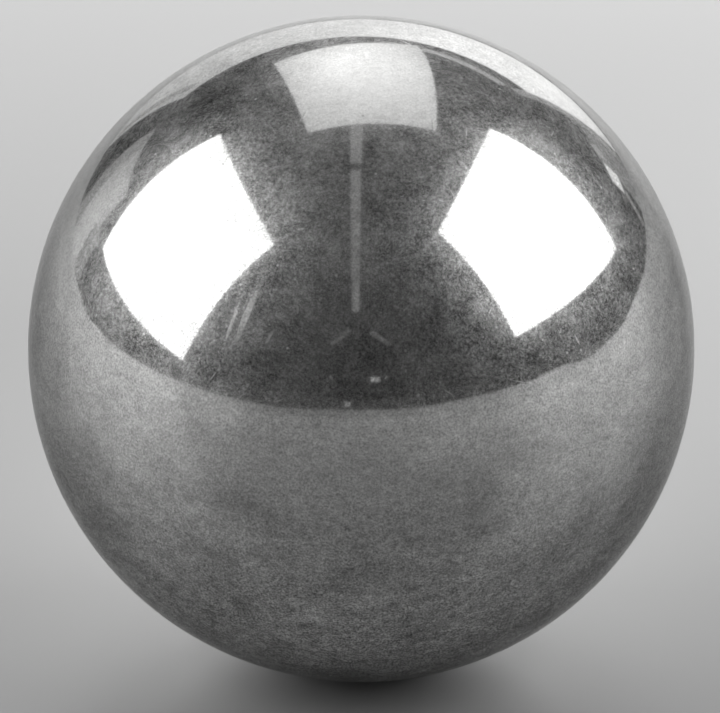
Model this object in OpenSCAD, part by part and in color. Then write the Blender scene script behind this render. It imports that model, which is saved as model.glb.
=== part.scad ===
// A solid, ground and polished steel ball. The origin is its centre.

/* [Ball] */
// Diameter of the ball
ball_d = 25.4; // [3:0.1:100]

/* [Hidden] */
$fn = 128;

// One true sphere: no flat, seam, hole or mark anywhere on it
module ball() {
    color("silver")
        sphere(d = ball_d);
}

ball();
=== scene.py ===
# A polished steel ball on a pale floor, lit by two side softboxes, a back softbox, a low panel and a card.
import math

import bmesh
import bpy
from mathutils import Matrix, Vector, noise


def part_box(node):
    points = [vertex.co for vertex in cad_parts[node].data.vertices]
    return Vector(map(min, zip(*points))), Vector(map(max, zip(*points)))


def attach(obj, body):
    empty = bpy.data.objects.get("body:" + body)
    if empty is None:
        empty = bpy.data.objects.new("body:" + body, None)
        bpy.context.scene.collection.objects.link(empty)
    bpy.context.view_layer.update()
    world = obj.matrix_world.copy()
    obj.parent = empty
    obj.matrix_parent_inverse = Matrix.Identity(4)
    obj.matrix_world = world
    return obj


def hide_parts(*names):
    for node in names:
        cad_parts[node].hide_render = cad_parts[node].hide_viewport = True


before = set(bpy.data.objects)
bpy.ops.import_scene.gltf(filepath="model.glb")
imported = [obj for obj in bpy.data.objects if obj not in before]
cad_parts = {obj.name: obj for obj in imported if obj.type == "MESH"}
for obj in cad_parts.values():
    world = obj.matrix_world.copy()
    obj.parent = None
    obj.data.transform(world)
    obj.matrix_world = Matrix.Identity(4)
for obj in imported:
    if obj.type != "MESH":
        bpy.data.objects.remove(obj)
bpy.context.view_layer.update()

low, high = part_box("ball")
ballCentre = (low + high) / 2
ballRadius = (high.z - low.z) / 2
print("frame loaded, ball radius", round(ballRadius * 1000, 3), "mm")


def addNode(tree, kind, **settings):
    node = tree.nodes.new(kind)
    for name, value in settings.items():
        setattr(node, name, value)
    return node


def join(tree, source, target):
    tree.links.new(source, target)


def feed(tree, socket, value):
    # value is another node's socket, or a plain number or vector
    if isinstance(value, bpy.types.NodeSocket):
        join(tree, value, socket)
    else:
        socket.default_value = value


def newGroup(name, inputs, outputs):
    # inputs and outputs are lists of (name, socket kind, default)
    group = bpy.data.node_groups.new(name, "ShaderNodeTree")
    for direction, sockets in (("INPUT", inputs), ("OUTPUT", outputs)):
        for title, kind, default in sockets:
            socket = group.interface.new_socket(name=title, in_out=direction, socket_type=kind)
            if default is not None:
                socket.default_value = default
    return group, group.nodes.new("NodeGroupInput").outputs, group.nodes.new("NodeGroupOutput").inputs


def placeGroup(tree, group, vector, values):
    node = addNode(tree, "ShaderNodeGroup", node_tree=group)
    join(tree, vector, node.inputs["Vector"])
    for name, value in values.items():
        feed(tree, node.inputs[name], value)
    return node.outputs[0]


def outward(azimuth, elevation):
    # azimuth runs from the camera's side (0) to the right (90)
    a, e = math.radians(azimuth), math.radians(elevation)
    return Vector((math.sin(a) * math.cos(e), -math.cos(a) * math.cos(e), math.sin(e)))


def mathNode(tree, operation, first, second=0.0):
    node = addNode(tree, "ShaderNodeMath", operation=operation)
    feed(tree, node.inputs[0], first)
    feed(tree, node.inputs[1], second)
    return node.outputs[0]


def vectorNode(tree, operation, first, second=(0, 0, 0)):
    node = addNode(tree, "ShaderNodeVectorMath", operation=operation)
    feed(tree, node.inputs[0], first)
    if operation == "SCALE":
        feed(tree, node.inputs["Scale"], second)
    elif operation not in ("NORMALIZE", "LENGTH"):
        feed(tree, node.inputs[1], second)
    return node.outputs["Value" if operation in ("DOT_PRODUCT", "LENGTH") else "Vector"]


def rangeNode(tree, value, fromMin, fromMax, toMin=0.0, toMax=1.0, kind="SMOOTHSTEP"):
    node = addNode(tree, "ShaderNodeMapRange", interpolation_type=kind)
    feed(tree, node.inputs["Value"], value)
    for name, number in (("From Min", fromMin), ("From Max", fromMax), ("To Min", toMin), ("To Max", toMax)):
        feed(tree, node.inputs[name], number)
    return node.outputs["Result"]


def noiseNode(tree, vector, size, detail=2.0, roughness=0.5):
    # noise about 0, from roughly -0.4 to 0.4; size is the width of one blob, in millimetres
    node = addNode(tree, "ShaderNodeTexNoise", noise_dimensions="3D")
    join(tree, vector, node.inputs["Vector"])
    feed(tree, node.inputs["Scale"], mathNode(tree, "DIVIDE", 1.0, size))
    node.inputs["Detail"].default_value = detail
    node.inputs["Roughness"].default_value = roughness
    return mathNode(tree, "SUBTRACT", node.outputs["Fac"], 0.5)


def scatterNode(tree, vector, spacing):
    # random cells about a spacing apart, and the way from each cell's middle to the points in it
    cells = addNode(tree, "ShaderNodeTexVoronoi", voronoi_dimensions="3D", feature="F1")
    join(tree, vector, cells.inputs["Vector"])
    feed(tree, cells.inputs["Scale"], mathNode(tree, "DIVIDE", 1.0, spacing))
    return cells, vectorNode(tree, "SUBTRACT", vector, cells.outputs["Position"])


def newMaterial(name):
    mat = bpy.data.materials.new(name)
    mat.use_nodes = True
    return mat, mat.node_tree.nodes["Principled BSDF"]


def addObject(name, bm):
    mesh = bpy.data.meshes.new(name)
    bm.to_mesh(mesh)
    bm.free()
    thing = bpy.data.objects.new(name, mesh)
    bpy.context.scene.collection.objects.link(thing)
    return thing


def smoothFaces(bm):
    bmesh.ops.recalc_face_normals(bm, faces=bm.faces[:])
    for face in bm.faces:
        face.smooth = True


ball = {
    "cuts": 95,  # cuts along each edge of the cube that becomes the ball
    "waviness": 0.0000006,  # height of the lapping waves, in metres
    "waveLength": 0.0030,
}


def buildBall():
    bm = bmesh.new()
    bmesh.ops.create_cube(bm, size=2)
    bmesh.ops.subdivide_edges(bm, edges=bm.edges[:], cuts=ball["cuts"], use_grid_fill=True)
    for vert in bm.verts:
        # tan spreads the cuts evenly round the ball
        out = Vector([math.tan(c * math.pi / 4) for c in vert.co]).normalized()
        wave = noise.noise(out * ballRadius / ball["waveLength"])
        vert.co = ballCentre + out * (ballRadius - ball["waviness"] * (1 + wave))
    smoothFaces(bm)
    return addObject("polishedBall", bm)


# Sizes here are in millimetres on the ball's surface.
steel = {
    "tone": (0.50, 0.50, 0.495),
    "edge": (0.56, 0.56, 0.56, 1),  # tint that holds back the bright rim
    "polish": 0.06,  # roughness where the polish is whole
    "haze": 0.40,  # roughness in the lapping haze
    "dull": 0.45,  # roughness of the small specks
    "pits": {"Pit size": 0.009, "Speck size": 0.14, "Speck": 0.23, "Blotch size": 0.55, "Blotch": 0.14,
             "Patch size": 1.6, "Patch": 0.22, "Cover": 0.032},
    "pitEdge": 0.03,  # how gradually a pit begins; a smaller number is sharper
    "grain": {"Size": 0.075, "Amount": 4.6},
    "mottle": {"Size": 0.38, "Flatness": 1.4, "Amount": 1.45},
    "cloud": {"Size": 1.3, "Flatness": 1.9, "Amount": 1.1},
    "hairlines": {"Spacing": 2.6, "Length": 0.9, "Width": 0.035, "Share": 0.5},
    "specks": {"Spacing": 0.85, "Size": 0.14},
    "speckCore": 0.2,  # share of a speck's size, out from its middle, that is wholly dull
    "ripple": {"Size": 0.16, "Height": 0.18},  # height in micrometres
    # patches more or less hazy than the rest: place on the ball, reach, and change in the pits' cover
    "wear": [
        {"azimuth": -18, "elevation": 52, "reach": 2.6, "change": 0.045},
        {"azimuth": -10, "elevation": 40, "reach": 2.8, "change": 0.050},
        {"azimuth": -10, "elevation": 25, "reach": 2.0, "change": 0.030},
        {"azimuth": -22, "elevation": 22, "reach": 1.3, "change": 0.040},
        {"azimuth": -18, "elevation": 27, "reach": 1.4, "change": -0.070},
        {"azimuth": -20, "elevation": 15, "reach": 1.6, "change": -0.030},
        {"azimuth": -31, "elevation": 52, "reach": 1.8, "change": 0.025},
        {"azimuth": -5, "elevation": 45, "reach": 1.3, "change": 0.042},
        {"azimuth": -47, "elevation": 60, "reach": 1.8, "change": -0.042},
        {"azimuth": -17, "elevation": 45, "reach": 1.8, "change": 0.025},
        {"azimuth": -63, "elevation": 57, "reach": 2.6, "change": -0.050},
        {"azimuth": -75, "elevation": 44, "reach": 2.6, "change": -0.060},
        {"azimuth": 53, "elevation": 55, "reach": 2.2, "change": 0.030},
        {"azimuth": 60, "elevation": 47, "reach": 1.8, "change": 0.030},
        {"azimuth": 42, "elevation": 64, "reach": 2.2, "change": -0.022},
        {"azimuth": 18, "elevation": 48, "reach": 2.0, "change": -0.030},
        {"azimuth": 14, "elevation": 32, "reach": 2.0, "change": -0.035},
        {"azimuth": 23, "elevation": 20, "reach": 4.0, "change": -0.055},
        {"azimuth": 1, "elevation": 16, "reach": 3.0, "change": -0.040},
        {"azimuth": 12, "elevation": 13.5, "reach": 2.1, "change": -0.050},
        {"azimuth": -15, "elevation": 46, "reach": 1.2, "change": 0.020},
        {"azimuth": -10, "elevation": 37, "reach": 1.0, "change": -0.025},
        {"azimuth": 15, "elevation": 36, "reach": 1.0, "change": -0.025},
        {"azimuth": -12, "elevation": 20, "reach": 1.3, "change": 0.018},
        {"azimuth": 32, "elevation": 16, "reach": 1.1, "change": -0.040},
        {"azimuth": 58, "elevation": 24, "reach": 1.4, "change": -0.035},
        {"azimuth": 48, "elevation": 23, "reach": 3.0, "change": -0.070},
        {"azimuth": 72, "elevation": 30, "reach": 2.6, "change": -0.060},
        {"azimuth": 115, "elevation": 72, "reach": 4.5, "change": -0.050},
    ],
    # the grain is whole underneath and gets fainter up to a height; both heights are from the ball's middle
    "fading": {"whole": -11, "faint": 1, "left": 0.38},
    # where handling has rubbed the grain down further, and the share of it left
    "rubbed": [
        {"azimuth": 5, "elevation": 72, "reach": 8.5, "left": 0.25},
        {"azimuth": 85, "elevation": 54, "reach": 5.0, "left": 0.30},
        {"azimuth": -72, "elevation": 38, "reach": 7.0, "left": 0.45},
    ],
    # darker and paler stains: the middle, the reach sideways, how much wider than tall, and the tone's share
    "stains": [
        {"azimuth": -21, "elevation": -7, "reach": 2.8, "flatness": 2.6, "tone": 0.74},
        {"azimuth": -25, "elevation": -20, "reach": 1.2, "flatness": 0.9, "tone": 0.78},
        {"azimuth": -22, "elevation": -24, "reach": 1.2, "flatness": 1.7, "tone": 0.86},
        {"azimuth": -5, "elevation": -22.5, "reach": 1.9, "flatness": 2.0, "tone": 0.82},
        {"azimuth": 2, "elevation": -18, "reach": 1.3, "flatness": 1.7, "tone": 0.78},
        {"azimuth": 8, "elevation": -23, "reach": 1.3, "flatness": 1.9, "tone": 0.84},
        {"azimuth": 37, "elevation": -20, "reach": 2.7, "flatness": 1.5, "tone": 0.79},
        {"azimuth": 20, "elevation": -11, "reach": 1.8, "flatness": 1.4, "tone": 0.80},
        {"azimuth": 28, "elevation": -21, "reach": 1.4, "flatness": 1.3, "tone": 0.86},
        {"azimuth": 29, "elevation": 1, "reach": 1.7, "flatness": 1.7, "tone": 0.80},
        {"azimuth": 42, "elevation": -15, "reach": 1.9, "flatness": 0.9, "tone": 0.84},
        {"azimuth": 20, "elevation": -5, "reach": 1.0, "flatness": 0.7, "tone": 0.86},
        {"azimuth": -52, "elevation": -5, "reach": 2.0, "flatness": 0.9, "tone": 0.82},
        {"azimuth": 54, "elevation": -3, "reach": 1.7, "flatness": 0.8, "tone": 0.84},
        {"azimuth": 2, "elevation": -25, "reach": 1.1, "flatness": 1.2, "tone": 1.26},
        {"azimuth": -8, "elevation": -30, "reach": 1.4, "flatness": 1.6, "tone": 1.22},
        {"azimuth": -18, "elevation": -20, "reach": 1.1, "flatness": 1.6, "tone": 1.24},
        {"azimuth": 9.5, "elevation": -28, "reach": 1.5, "flatness": 1.8, "tone": 1.22},
        {"azimuth": -24, "elevation": 8.5, "reach": 1.7, "flatness": 1.0, "tone": 1.22},
        {"azimuth": 14.5, "elevation": 4.5, "reach": 3.7, "flatness": 2.4, "tone": 1.21},
        {"azimuth": 48, "elevation": 14.5, "reach": 1.6, "flatness": 1.2, "tone": 1.22},
        {"azimuth": 10, "elevation": -34, "reach": 2.0, "flatness": 1.2, "tone": 0.79},
        {"azimuth": 28, "elevation": -32, "reach": 1.6, "flatness": 1.6, "tone": 0.82},
        {"azimuth": 51, "elevation": -31, "reach": 1.4, "flatness": 1.0, "tone": 0.82},
        {"azimuth": -24, "elevation": -30, "reach": 0.8, "flatness": 1.0, "tone": 0.75},
        {"azimuth": -28, "elevation": -25, "reach": 0.8, "flatness": 1.2, "tone": 0.78},
        {"azimuth": -49, "elevation": -19, "reach": 1.8, "flatness": 1.2, "tone": 0.83},
        {"azimuth": -32, "elevation": -16, "reach": 1.3, "flatness": 1.0, "tone": 0.86},
        {"azimuth": -4, "elevation": -29, "reach": 1.2, "flatness": 1.2, "tone": 0.86},
        {"azimuth": -33, "elevation": 6, "reach": 1.6, "flatness": 1.0, "tone": 0.85},
        {"azimuth": -34, "elevation": -3, "reach": 1.3, "flatness": 1.0, "tone": 0.88},
        {"azimuth": -71, "elevation": -3, "reach": 2.4, "flatness": 0.8, "tone": 1.22},
        {"azimuth": 68, "elevation": -10, "reach": 1.9, "flatness": 0.9, "tone": 1.20},
    ],
    # the scratches that stand out: the middle, the way each runs in degrees round from upright, its size,
    # and its depth, where 1 is as hazy as a pit
    "scratches": [
        {"azimuth": -11.5, "elevation": 26.4, "heading": 0, "length": 0.7, "width": 0.08, "depth": 1.0},
        {"azimuth": -16.1, "elevation": 21.8, "heading": 25, "length": 1.5, "width": 0.12, "depth": 1.0},
        {"azimuth": -21, "elevation": 24.5, "heading": 14, "length": 5.2, "width": 0.34, "depth": 0.9},
        {"azimuth": -23.5, "elevation": 23, "heading": 12, "length": 4.0, "width": 0.20, "depth": 0.8},
        {"azimuth": -12.8, "elevation": 39.9, "heading": 75, "length": 0.6, "width": 0.12, "depth": 1.0},
        {"azimuth": 40.3, "elevation": 17.4, "heading": -20, "length": 1.0, "width": 0.08, "depth": 1.0},
    ],
}


def pitGroup():
    # 1 in the fine pits that make the haze, 0 between them; Cover shifts how many there are
    group, given, result = newGroup(
        "lappingPits",
        [("Vector", "NodeSocketVector", None), ("Pit size", "NodeSocketFloat", 0.03),
         ("Speck size", "NodeSocketFloat", 0.2), ("Speck", "NodeSocketFloat", 0.3),
         ("Blotch size", "NodeSocketFloat", 0.5), ("Blotch", "NodeSocketFloat", 0.3),
         ("Patch size", "NodeSocketFloat", 1.0), ("Patch", "NodeSocketFloat", 0.3),
         ("Cover", "NodeSocketFloat", 0.05)],
        [("Mask", "NodeSocketFloat", None)])
    total = noiseNode(group, given["Vector"], given["Pit size"], detail=0.0)
    for kind in ("Speck", "Blotch", "Patch"):
        blob = noiseNode(group, given["Vector"], given[kind + " size"], detail=1.0)
        total = mathNode(group, "ADD", total, mathNode(group, "MULTIPLY", blob, given[kind]))
    edge = mathNode(group, "SUBTRACT", total, given["Cover"])
    join(group, rangeNode(group, edge, -steel["pitEdge"], steel["pitEdge"]), result["Mask"])
    return group


def grainGroup():
    # light and dark grain about 1, of one size, and wider than it is tall by its flatness
    group, given, result = newGroup(
        "steelGrain",
        [("Vector", "NodeSocketVector", None), ("Size", "NodeSocketFloat", 0.1),
         ("Flatness", "NodeSocketFloat", 1.0), ("Amount", "NodeSocketFloat", 0.2)],
        [("Tone", "NodeSocketFloat", None)])
    lying = addNode(group, "ShaderNodeCombineXYZ")
    for socket, factor in zip(lying.inputs, (1.0, 1.0, given["Flatness"])):
        feed(group, socket, factor)
    pressed = vectorNode(group, "MULTIPLY", given["Vector"], lying.outputs[0])
    grain = noiseNode(group, pressed, given["Size"], roughness=0.6)
    tone = mathNode(group, "ADD", mathNode(group, "MULTIPLY", grain, given["Amount"]), 1.0)
    join(group, tone, result["Tone"])
    return group


def hairlineGroup():
    # short straight hairlines, one at most in each cell, each its own way round
    group, given, result = newGroup(
        "hairlines",
        [("Vector", "NodeSocketVector", None), ("Spacing", "NodeSocketFloat", 2.0),
         ("Length", "NodeSocketFloat", 0.5), ("Width", "NodeSocketFloat", 0.02),
         ("Share", "NodeSocketFloat", 0.5)],
        [("Mask", "NodeSocketFloat", None)])
    cells, offset = scatterNode(group, given["Vector"], given["Spacing"])
    out = vectorNode(group, "NORMALIZE", given["Vector"])
    aim = vectorNode(group, "SUBTRACT", cells.outputs["Color"], (0.5, 0.5, 0.5))
    along = vectorNode(group, "NORMALIZE", vectorNode(group, "CROSS_PRODUCT", out, aim))
    across = vectorNode(group, "CROSS_PRODUCT", out, along)
    farAlong = mathNode(group, "ABSOLUTE", vectorNode(group, "DOT_PRODUCT", offset, along))
    farAcross = mathNode(group, "ABSOLUTE", vectorNode(group, "DOT_PRODUCT", offset, across))
    halfLength = mathNode(group, "MULTIPLY", given["Length"], 0.5)
    thin = rangeNode(group, farAcross, 0.0, given["Width"], 1.0, 0.0)
    short = rangeNode(group, farAlong, 0.0, halfLength, 1.0, 0.0)
    split = addNode(group, "ShaderNodeSeparateColor")
    join(group, cells.outputs["Color"], split.inputs[0])
    chosen = mathNode(group, "LESS_THAN", split.outputs["Blue"], given["Share"])
    mask = mathNode(group, "MULTIPLY", mathNode(group, "MULTIPLY", thin, short), chosen)
    join(group, mask, result["Mask"])
    return group


def speckGroup():
    # small round specks, scattered
    group, given, result = newGroup(
        "specks",
        [("Vector", "NodeSocketVector", None), ("Spacing", "NodeSocketFloat", 1.0),
         ("Size", "NodeSocketFloat", 0.1)],
        [("Mask", "NodeSocketFloat", None)])
    offset = scatterNode(group, given["Vector"], given["Spacing"])[1]
    reach = vectorNode(group, "LENGTH", offset)
    radius = mathNode(group, "MULTIPLY", given["Size"], 0.5)
    core = mathNode(group, "MULTIPLY", given["Size"], steel["speckCore"])
    join(group, rangeNode(group, reach, core, radius, 1.0, 0.0), result["Mask"])
    return group


def reachFrom(tree, place, spec):
    # how far a point is from a named place on the ball; height counts for more in a flat patch
    spot = (ballCentre + outward(spec["azimuth"], spec["elevation"]) * ballRadius) * 1000
    gap = vectorNode(tree, "SUBTRACT", place, spot)
    if "flatness" in spec:
        gap = vectorNode(tree, "MULTIPLY", gap, (1, 1, spec["flatness"]))
    return vectorNode(tree, "LENGTH", gap)


def scratchMask(tree, place, spec):
    out = outward(spec["azimuth"], spec["elevation"])
    right = Vector((0, 0, 1)).cross(out).normalized()
    heading = math.radians(spec["heading"])
    across = right * math.cos(heading) - out.cross(right) * math.sin(heading)
    middle = (ballCentre * 1000).dot(across)
    offset = mathNode(tree, "SUBTRACT", vectorNode(tree, "DOT_PRODUCT", place, across), middle)
    thin = rangeNode(tree, mathNode(tree, "ABSOLUTE", offset), 0.0, spec["width"], spec["depth"], 0.0)
    short = rangeNode(tree, reachFrom(tree, place, spec), 0.0, spec["length"] / 2, 1.0, 0.0)
    return mathNode(tree, "MULTIPLY", thin, short)


def steelMaterial():
    mat, shader = newMaterial("polishedSteel")
    tree = mat.node_tree
    shader.inputs["Metallic"].default_value = 1.0
    shader.inputs["Specular Tint"].default_value = steel["edge"]
    coords = addNode(tree, "ShaderNodeTexCoord")
    place = vectorNode(tree, "SCALE", coords.outputs["Object"], 1000.0)  # in millimetres

    cover = steel["pits"]["Cover"]
    for patch in steel["wear"]:
        change = rangeNode(tree, reachFrom(tree, place, patch), 0.0, patch["reach"], patch["change"], 0.0)
        cover = mathNode(tree, "SUBTRACT", cover, change)
    pits = placeGroup(tree, pitGroup(), place, {**steel["pits"], "Cover": cover})
    lines = placeGroup(tree, hairlineGroup(), place, steel["hairlines"])
    worn = mathNode(tree, "MAXIMUM", pits, lines)
    for scratch in steel["scratches"]:
        worn = mathNode(tree, "MAXIMUM", worn, scratchMask(tree, place, scratch))
    hazy = rangeNode(tree, worn, 0.0, 1.0, steel["polish"], steel["haze"], "LINEAR")
    specks = placeGroup(tree, speckGroup(), place, steel["specks"])
    rough = rangeNode(tree, specks, 0.0, 1.0, hazy, steel["dull"], "LINEAR")
    join(tree, rough, shader.inputs["Roughness"])

    fading = steel["fading"]
    height = vectorNode(tree, "DOT_PRODUCT", place, (0, 0, 1))
    middle = ballCentre.z * 1000
    share = rangeNode(tree, height, middle + fading["whole"], middle + fading["faint"], 1.0, fading["left"])
    for patch in steel["rubbed"]:
        left = rangeNode(tree, reachFrom(tree, place, patch), 0.0, patch["reach"], patch["left"], 1.0)
        share = mathNode(tree, "MULTIPLY", share, left)
    grain = grainGroup()
    tone = None
    for part in ("grain", "mottle", "cloud"):
        amount = mathNode(tree, "MULTIPLY", share, steel[part]["Amount"])
        layer = placeGroup(tree, grain, place, {**steel[part], "Amount": amount})
        tone = mathNode(tree, "MULTIPLY", tone, layer) if tone else layer
    for stain in steel["stains"]:
        change = rangeNode(tree, reachFrom(tree, place, stain), 0.0, stain["reach"], stain["tone"], 1.0)
        tone = mathNode(tree, "MULTIPLY", tone, change)
    join(tree, vectorNode(tree, "SCALE", steel["tone"], tone), shader.inputs["Base Color"])

    ripple = noiseNode(tree, place, steel["ripple"]["Size"])
    bump = addNode(tree, "ShaderNodeBump")
    bump.inputs["Distance"].default_value = steel["ripple"]["Height"] / 1000000
    join(tree, ripple, bump.inputs["Height"])
    join(tree, bump.outputs["Normal"], shader.inputs["Normal"])
    return mat


piece = buildBall()
piece.data.materials.append(steelMaterial())
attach(piece, "root")
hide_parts("ball")
print("ball built,", len(piece.data.polygons), "faces")


floor = {
    "rings": (0, 0.1, 0.2, 0.3, 0.4, 0.42, 0.44, 0.46, 0.48, 0.5),  # distances out from the ball
    "flat": 0.40,  # how far out it is flat; beyond, it sweeps up
    # how high the sweep's edge stands, seen from the ball's middle: azimuth and elevation
    "sweepEdge": ((-180, 0.9), (-150, 1.7), (-118, 1.4), (-110, 0.3), (-80, 0.2), (-20, -0.4), (-8, 0.2),
                  (16, 0.3), (28, 0.8), (45, 1.4), (60, 1.5), (64, 2.2), (71, 2.2), (80, 0.4), (86, 0.4),
                  (91, 1.0), (102, 1.4), (110, 2.9), (150, 2.7), (158, 1.1), (180, 0.9)),
    "segments": 120,
    "weld": 0.00001,  # points closer than this become one, as at the middle
    "paintedShadeTone": 0.190,  # painted shade: the tone in the middle of the darker pool painted round the ball
    "farTone": 0.57,
    "shadePool": (0.011, -0.007, 0.0),  # the middle of the painted shade pool
    "fade": 0.20,  # how far from it the floor reaches its far tone
    # painted light and shade: patches paler or darker than the rest
    "paintedLightAndShade": [
        {"middle": (0.13, -0.03, 0.0), "reach": 0.13, "change": 0.130},
        {"middle": (0.24, -0.08, 0.0), "reach": 0.16, "change": 0.110},
        {"middle": (0.045, 0.035, 0.0), "reach": 0.055, "change": 0.105},
        {"middle": (-0.08, -0.07, 0.0), "reach": 0.11, "change": 0.045},
        {"middle": (0.018, -0.004, 0.0), "reach": 0.032, "change": -0.034},
        {"middle": (-0.016, -0.014, 0.0), "reach": 0.030, "change": -0.024},
        {"middle": (-0.004, 0.012, 0.0), "reach": 0.030, "change": 0.085},
        {"middle": (0.0, 0.006, 0.0), "reach": 0.024, "change": 0.140},
    ],
    "roughness": 0.4,
    "ior": 1.55,
}


def sweepLift(spot):
    edge = floor["rings"][-1]
    rise = max(0.0, (spot.xy.length - floor["flat"]) / (edge - floor["flat"])) ** 2
    azimuth = math.degrees(math.atan2(spot.x, -spot.y))
    points = floor["sweepEdge"]
    for (before, start), (after, end) in zip(points, points[1:]):
        if before <= azimuth <= after:
            height = start + (end - start) * (azimuth - before) / (after - before)
    return rise * (ballRadius + edge * math.tan(math.radians(height)))


def buildFloor():
    bm = bmesh.new()
    line = [bm.verts.new((reach, 0, 0)) for reach in floor["rings"]]
    edges = [bm.edges.new(pair) for pair in zip(line, line[1:])]
    bmesh.ops.spin(bm, geom=line + edges, cent=(0, 0, 0), axis=(0, 0, 1), angle=2 * math.pi,
                   steps=floor["segments"], use_merge=True)
    bmesh.ops.remove_doubles(bm, verts=bm.verts[:], dist=floor["weld"])
    for vert in bm.verts:
        vert.co.z = sweepLift(vert.co)
    bmesh.ops.translate(bm, verts=bm.verts[:], vec=(ballCentre.x, ballCentre.y, low.z))
    smoothFaces(bm)
    plane = addObject("floor", bm)
    mat, shader = newMaterial("paleFloor")
    tree = mat.node_tree
    coords = addNode(tree, "ShaderNodeTexCoord")
    flat = vectorNode(tree, "MULTIPLY", coords.outputs["Object"], (1, 1, 0))
    # painted shade: the floor's tone darkens towards the pool painted round the ball
    reach = vectorNode(tree, "LENGTH", vectorNode(tree, "SUBTRACT", flat, floor["shadePool"]))
    tone = rangeNode(tree, reach, 0.0, floor["fade"], floor["paintedShadeTone"], floor["farTone"], "LINEAR")
    # painted light and shade: each patch lightens or darkens the floor's tone
    for patch in floor["paintedLightAndShade"]:
        reach = vectorNode(tree, "LENGTH", vectorNode(tree, "SUBTRACT", flat, patch["middle"]))
        tone = mathNode(tree, "ADD", tone, rangeNode(tree, reach, 0.0, patch["reach"], patch["change"], 0.0))
    floorGreyWithPaintedShade = addNode(tree, "ShaderNodeCombineColor")
    for socket in floorGreyWithPaintedShade.inputs:
        join(tree, tone, socket)
    join(tree, floorGreyWithPaintedShade.outputs[0], shader.inputs["Base Color"])
    shader.inputs["Roughness"].default_value = floor["roughness"]
    shader.inputs["IOR"].default_value = floor["ior"]
    plane.data.materials.append(mat)


buildFloor()
print("floor laid")


# Each lamp faces the ball, then turns, tips and rolls. level is how bright it is, where 1 is white. Some fade
# from a hot spot on their face to the share given as edge; spread weighs distance across and up the face.
lamps = {
    "leftSoftbox": {"azimuth": -92.5, "elevation": 33.4, "distance": 0.60, "size": (0.65, 0.50),
                    "turn": 17.4, "tip": 1.9, "roll": -1.1, "level": 3.36},
    "rightSoftbox": {"azimuth": 87.3, "elevation": 40, "distance": 0.60, "size": (0.636, 0.495),
                     "turn": -3.2, "tip": 12.9, "roll": 4.6, "level": 3.65},
    "backSoftbox": {"azimuth": 182.6, "elevation": 50.3, "distance": 0.60, "size": (0.323, 0.557),
                    "turn": -19.6, "tip": -25.3, "roll": -12.5, "level": 2.35,
                    "hotSpot": (0.45, 0.25, 0), "spread": (1, 1, 0), "reach": 0.8, "edge": 0.5},
    "lowPanel": {"azimuth": 179.6, "elevation": 12.95, "distance": 0.65, "size": (0.651, 0.268),
                 "turn": 0, "tip": 0, "roll": 2.2, "level": 2.76,
                 "hotSpot": (0.15, 0.4, 0), "spread": (1, 0.35, 0), "reach": 0.95, "edge": 0.38},
    "leftCard": {"azimuth": -130.8, "elevation": 11, "distance": 0.65, "size": (0.162, 0.23),
                 "turn": 0, "tip": 0, "roll": 2, "level": 0.97,
                 "hotSpot": (0.5, 0.3, 0), "spread": (1, 1, 0), "reach": 0.8, "edge": 0.65},
}


def fadeLamp(data, spec):
    # Parametric runs from 0 to 1 over the lamp's face
    data.use_nodes = True
    tree = data.node_tree
    face = addNode(tree, "ShaderNodeNewGeometry")
    offset = vectorNode(tree, "SUBTRACT", face.outputs["Parametric"], spec["hotSpot"])
    reach = vectorNode(tree, "LENGTH", vectorNode(tree, "MULTIPLY", offset, spec["spread"]))
    strength = rangeNode(tree, reach, 0.0, spec["reach"], 1.0, spec["edge"])
    join(tree, strength, tree.nodes["Emission"].inputs["Strength"])


def addLamp(name, spec):
    look = outward(spec["azimuth"], spec["elevation"])  # from the ball to the lamp
    right = look.cross(Vector((0, 0, 1))).normalized()
    up = right.cross(look)
    place = Matrix((right, up, -look)).transposed()
    place = place @ Matrix.Rotation(math.radians(spec["turn"]), 3, "Y")
    place = place @ Matrix.Rotation(math.radians(-spec["tip"]), 3, "X")
    place = place @ Matrix.Rotation(math.radians(spec["roll"]), 3, "Z")
    # a lamp shines along its own -Z, so it is turned about to face the ball
    place = (place @ Matrix.Rotation(math.pi, 3, "Y")).to_4x4()
    place.translation = ballCentre + look * spec["distance"]
    data = bpy.data.lights.new(name, "AREA")
    data.shape = "RECTANGLE"
    data.size, data.size_y = spec["size"]
    data.energy = spec["level"] * math.pi * data.size * data.size_y
    if "hotSpot" in spec:
        fadeLamp(data, spec)
    lamp = bpy.data.objects.new(name, data)
    bpy.context.scene.collection.objects.link(lamp)
    lamp.matrix_world = place


for name, spec in lamps.items():
    addLamp(name, spec)
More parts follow.
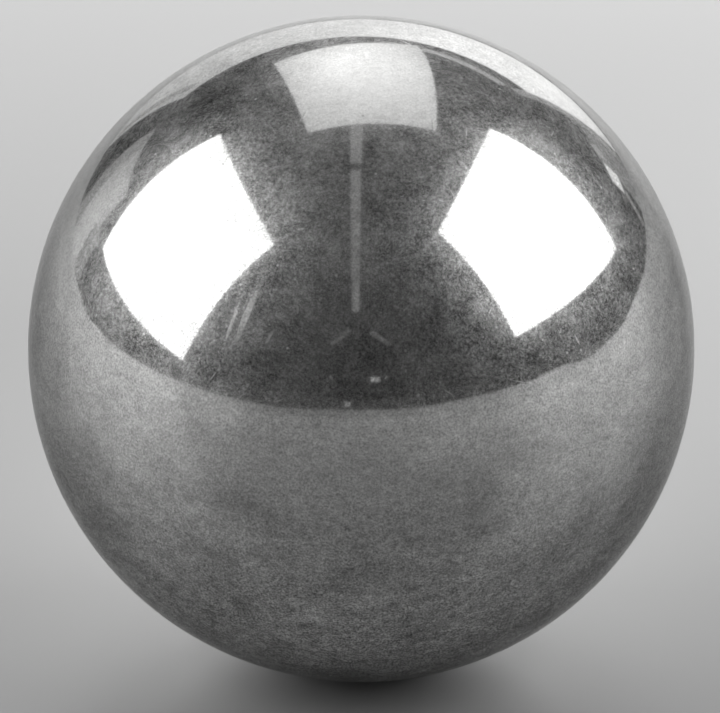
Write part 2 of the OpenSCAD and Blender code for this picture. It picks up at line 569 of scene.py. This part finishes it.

# Things seen only in the ball: the back softbox's boom and its knuckle, the low panel's frame, pole and edge,
# a strip light with its foot and the card behind it, the left card's edge and strut, and the camera's braces,
# glints and tripod. Each end is an azimuth, an elevation and a distance.
# Their glow is painted light: emission makes these dark rods shine as lit things, glints and the strip light
# do.
rods = {
    "boomTop": {"start": (-173.9, 79.2, 0.43), "end": (-17.5, 85.1, 0.424), "radius": 0.0115, "paintedGlow": 0.34},
    "boomKnuckle": {"start": (-17.5, 85.1, 0.424), "end": (-12.0, 82.7, 0.426),
                    "radius": 0.012, "paintedGlow": 0.03},
    "boomArm": {"start": (-12.0, 82.7, 0.426), "end": (-2.1, 33.4, 0.767), "radius": 0.0108,
                "endRadius": 0.016, "paintedGlow": 0.34},
    "frameTop": {"start": (169.6, 29.7, 0.64), "end": (153.2, 29.4, 0.64), "radius": 0.0145, "paintedGlow": 0.9},
    "framePole": {"start": (151.4, 28, 0.64), "end": (150.6, 3, 0.64), "radius": 0.013, "paintedGlow": 0.55},
    "stripTop": {"start": (144.6, 13.4, 0.62), "end": (142.2, 12.4, 0.62), "radius": 0.018, "paintedGlow": 1.0},
    "stripLight": {"start": (138.4, 13.0, 0.62), "end": (139.1, 9.0, 0.62), "radius": 0.022, "paintedGlow": 2.0},
    "stripFoot": {"start": (138.2, 8.0, 0.62), "end": (136.2, 3.2, 0.62), "radius": 0.012, "paintedGlow": 0.5},
    "stripCard": {"start": (144.7, 13.2, 0.66), "end": (144.7, 1.5, 0.66), "radius": 0.050, "paintedGlow": 0.42},
    "panelEdge": {"start": (-155.9, 19, 0.64), "end": (-155.9, 2.5, 0.64), "radius": 0.013, "paintedGlow": 0.70},
    "cardEdge": {"start": (-140.7, 21, 0.66), "end": (-140.7, 2, 0.66), "radius": 0.030, "paintedGlow": 0.40},
    "cardStrut": {"start": (-123.4, 10.5, 0.61), "end": (-123.4, 2, 0.61), "radius": 0.036, "paintedGlow": 0.36},
    "leftBrace": {"start": (-10.5, 21.5, 0.45), "end": (-4.2, 26.7, 0.45), "radius": 0.006, "paintedGlow": 0.15},
    "rightBrace": {"start": (3.3, 26.1, 0.45), "end": (10.3, 21.5, 0.45), "radius": 0.006, "paintedGlow": 0.13},
    "lensGlint": {"start": (3.1, 10.4, 0.45), "end": (6.2, 10.3, 0.45), "radius": 0.006, "paintedGlow": 0.6},
    "screwGlint": {"start": (8.0, 10.9, 0.45), "end": (8.8, 10.9, 0.45), "radius": 0.004, "paintedGlow": 0.4},
    "knobGlint": {"start": (-10.6, 10.8, 0.45), "end": (-9.8, 10.8, 0.45), "radius": 0.005, "paintedGlow": 0.25},
    "tripodFoot": {"start": (-5.3, 2.2, 0.45), "end": (-3.5, 2.0, 0.45), "radius": 0.005, "paintedGlow": 0.6},
}
rodFinish = {"sides": 24, "tone": (0.05, 0.05, 0.05, 1)}
# the camera and what it stands on, as one dark block
stand = {"azimuth": 3, "distance": 0.62, "bottom": 0.06, "height": 0.28, "footRadius": 0.182,
         "topRadius": 0.052, "tone": (0.01, 0.01, 0.01, 1)}
propRoughness = 0.8


def addProp(name, bm, tone, paintedGlow=0.0):
    prop = addObject(name, bm)
    mat, shader = newMaterial(name)
    shader.inputs["Base Color"].default_value = tone
    shader.inputs["Roughness"].default_value = propRoughness
    # painted light: the emission makes the prop glow though it is no lamp
    shader.inputs["Emission Color"].default_value = (1, 1, 1, 1)
    shader.inputs["Emission Strength"].default_value = paintedGlow
    prop.data.materials.append(mat)


def addRod(name, spec):
    start, end = (ballCentre + outward(azimuth, elevation) * distance
                  for azimuth, elevation, distance in (spec["start"], spec["end"]))
    along = end - start
    place = Matrix.Translation((start + end) / 2) @ along.to_track_quat("Z", "Y").to_matrix().to_4x4()
    bm = bmesh.new()
    bmesh.ops.create_cone(bm, cap_ends=True, segments=rodFinish["sides"], radius1=spec["radius"],
                          radius2=spec.get("endRadius", spec["radius"]), depth=along.length, matrix=place)
    addProp(name, bm, rodFinish["tone"], spec["paintedGlow"])


def addStand():
    # a four-sided block, narrower at the top, with one side square to the camera
    bm = bmesh.new()
    middle = outward(stand["azimuth"], 0) * stand["distance"]
    middle.z = low.z + stand["bottom"] + stand["height"] / 2
    place = Matrix.Translation(middle) @ Matrix.Rotation(math.pi / 4, 4, "Z")
    bmesh.ops.create_cone(bm, cap_ends=True, segments=4, radius1=stand["footRadius"],
                          radius2=stand["topRadius"], depth=stand["height"], matrix=place)
    addProp("cameraStand", bm, stand["tone"])


for name, spec in rods.items():
    addRod(name, spec)
addStand()

roomTone = (0.05, 0.05, 0.05, 1)
world = bpy.data.worlds.new("darkRoom")
world.use_nodes = True
world.node_tree.nodes["Background"].inputs["Color"].default_value = roomTone
bpy.context.scene.world = world
print("lamps and room set")


camera = {
    "elevation": 20.5,
    "distance": 0.20,
    "share": 0.926,  # of the picture's half width that the ball's outline fills
    "shift": (-0.0017, -0.0107),
    "sensor": 36,  # in millimetres, as the lens is
    "clip": (0.01, 10),
}
data = bpy.data.cameras.new("camera")
halfView = math.tan(math.asin(ballRadius / camera["distance"])) / camera["share"]
data.sensor_width = camera["sensor"]
data.lens = data.sensor_width / 2 / halfView
data.shift_x, data.shift_y = camera["shift"]
data.clip_start, data.clip_end = camera["clip"]
cameraObject = bpy.data.objects.new("camera", data)
bpy.context.scene.collection.objects.link(cameraObject)
away = outward(0, camera["elevation"])
cameraObject.location = ballCentre + away * camera["distance"]
cameraObject.rotation_euler = (-away).to_track_quat("-Z", "Y").to_euler()
bpy.context.scene.camera = cameraObject
bpy.context.scene.view_settings.view_transform = "Standard"
print("camera placed, lens", round(data.lens, 1), "mm")
